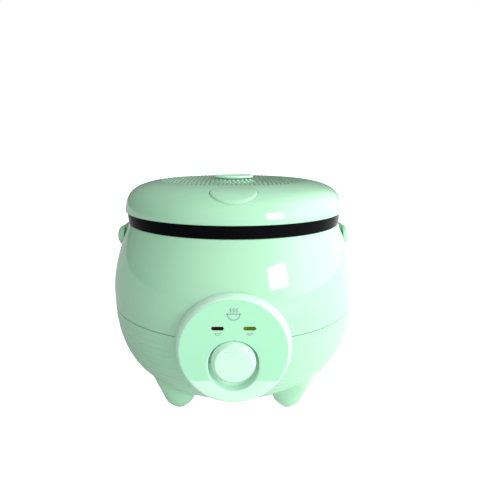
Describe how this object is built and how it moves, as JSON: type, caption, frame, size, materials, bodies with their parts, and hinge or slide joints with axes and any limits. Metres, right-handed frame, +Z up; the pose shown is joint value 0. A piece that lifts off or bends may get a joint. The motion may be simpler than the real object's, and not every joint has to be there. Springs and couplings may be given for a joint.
{
  "type": "rice cooker",
  "caption": "Small round rice cooker with a domed hinged lid, push-button latch, swinging carry handle, lift-out pot, press-down cook knob and ball feet.",
  "frame": {"origin": "on the worktop, under the middle of the body", "axes": "+Z up, -Y towards the user (the panel side), +Y towards the lid hinge and power inlet, +X to the right"},
  "size_m": [0.2016, 0.214, 0.1844],
  "materials": {
    "mint_gloss": "glossy mint green moulded plastic",
    "mint_plate": "slightly deeper mint satin panel plate",
    "black_gloss": "glossy black moulded plastic",
    "white_plastic": "plain white engineering plastic",
    "black_matte": "matt black heat-resistant plastic",
    "steel": "bright pressed and turned steel",
    "galvanised": "dull galvanised sheet steel",
    "cast_aluminium": "satin cast aluminium",
    "sheet_aluminium": "brushed sheet aluminium",
    "pot_coating": "dark grey non-stick coating with fine speckle",
    "ferrite": "dark sintered ferrite",
    "silicone": "translucent white silicone",
    "foot_rubber": "pale grey-green rubber",
    "lens_red": "dark red lamp lens",
    "lens_olive": "olive green lamp lens",
    "lamp_glass": "clear lamp glass",
    "mica": "glass-cloth heater tape",
    "element": "oxidised heater tube",
    "wire_sleeve": "woven glass-fibre sleeving"
  },
  "bodies": {
    "housing": {"upper_shell": "mint_gloss", "lower_shell": "mint_gloss", "foot_pads": "foot_rubber", "base_cover": "mint_gloss", "base_screws": "steel", "inner_can": "galvanised", "can_screws": "steel", "heater_plate": "cast_aluminium", "heater_element": "element", "heater_spacers": "steel", "keep_warm_band": "mica", "thermal_fuse": "white_plastic", "sensor_guide": "steel", "sensor_spring": "steel", "magnet_spring": "steel", "lever_pin": "steel", "lever_bracket": "galvanised", "micro_switch": "black_matte", "panel_bezel": "mint_gloss", "panel_plate": "mint_plate", "cook_lens": "lens_red", "warm_lens": "lens_olive", "cook_lamp": "lamp_glass", "warm_lamp": "lamp_glass", "power_inlet": "black_matte", "inlet_blades": "steel", "wiring": "wire_sleeve", "hinge_pin": "steel", "hinge_spring": "steel", "hinge_cover": "mint_gloss", "handle_pivots": "steel"},
    "lid": {"lid_outer": "mint_gloss", "lid_liner": "black_gloss", "lid_rib_plate": "mint_gloss", "inner_lid": "sheet_aluminium", "lid_seal": "silicone", "steam_tube": "white_plastic", "steam_valve_ball": "steel", "latch_pin": "steel", "latch_spring": "steel"},
    "steam_cap": {"steam_cap": "mint_gloss"},
    "button": {"lid_button": "mint_gloss"},
    "latch": {"lid_latch": "white_plastic"},
    "handle": {"carry_handle": "mint_gloss"},
    "pot": {"inner_pot": "pot_coating"},
    "sensor": {"sensor_cup": "cast_aluminium", "ferrite_disc": "ferrite"},
    "magnet": {"magnet": "ferrite", "magnet_rod": "steel"},
    "lever": {"cook_lever": "steel"},
    "knob": {"cook_knob": "mint_gloss", "knob_slider": "white_plastic"}
  },
  "joints": [
    {"name": "lid_hinge", "type": "hinge", "parent": "housing", "child": "lid", "pos_m": [0, 0.0905, 0.1465], "axis": [-1, 0, 0], "range_deg": [0, 85]},
    {"name": "steam_cap_lift", "type": "slide", "parent": "lid", "child": "steam_cap", "axis": [0, 0, 1], "range_m": [0, 0.02]},
    {"name": "button_press", "type": "slide", "parent": "lid", "child": "button", "axis": [0, 0, -1], "range_m": [0, 0.0016], "stiffness_N_per_m": 600, "springref_m": -0.0008},
    {"name": "latch_swing", "type": "hinge", "parent": "lid", "child": "latch", "pos_m": [0, -0.082, 0.161], "axis": [-1, 0, 0], "range_deg": [0, 6], "deforming": ["latch_spring"]},
    {"name": "handle_swing", "type": "hinge", "parent": "housing", "child": "handle", "pos_m": [0, 0, 0.133], "axis": [1, 0, 0], "range_deg": [0, 95]},
    {"name": "pot_turn", "type": "hinge", "parent": "housing", "child": "pot", "pos_m": [0, 0, 0.0583], "axis": [0, 0, 1], "continuous": true},
    {"name": "sensor_plunge", "type": "slide", "parent": "housing", "child": "sensor", "axis": [0, 0, 1], "range_m": [-0.0015, 0], "stiffness_N_per_m": 500, "springref_m": 0.001, "deforming": ["sensor_spring"]},
    {"name": "knob_press", "type": "slide", "parent": "housing", "child": "knob", "axis": [0, 0, -1], "range_m": [0, 0.0045], "stiffness_N_per_m": 250, "springref_m": -0.002},
    {"name": "lever_tilt", "type": "hinge", "parent": "housing", "child": "lever", "pos_m": [0, -0.04, 0.02], "axis": [1, 0, 0], "range_deg": [0, 6]},
    {"name": "magnet_rise", "type": "slide", "parent": "housing", "child": "magnet", "axis": [0, 0, 1], "range_m": [0, 0.0045], "deforming": ["magnet_spring"]}
  ],
  "couplings": [
    {"joint": "latch_swing", "follows": "button_press", "rad_per_m": 55.556},
    {"joint": "lever_tilt", "follows": "knob_press", "rad_per_m": 21.277},
    {"joint": "magnet_rise", "follows": "knob_press", "ratio": 0.8511}
  ]
}
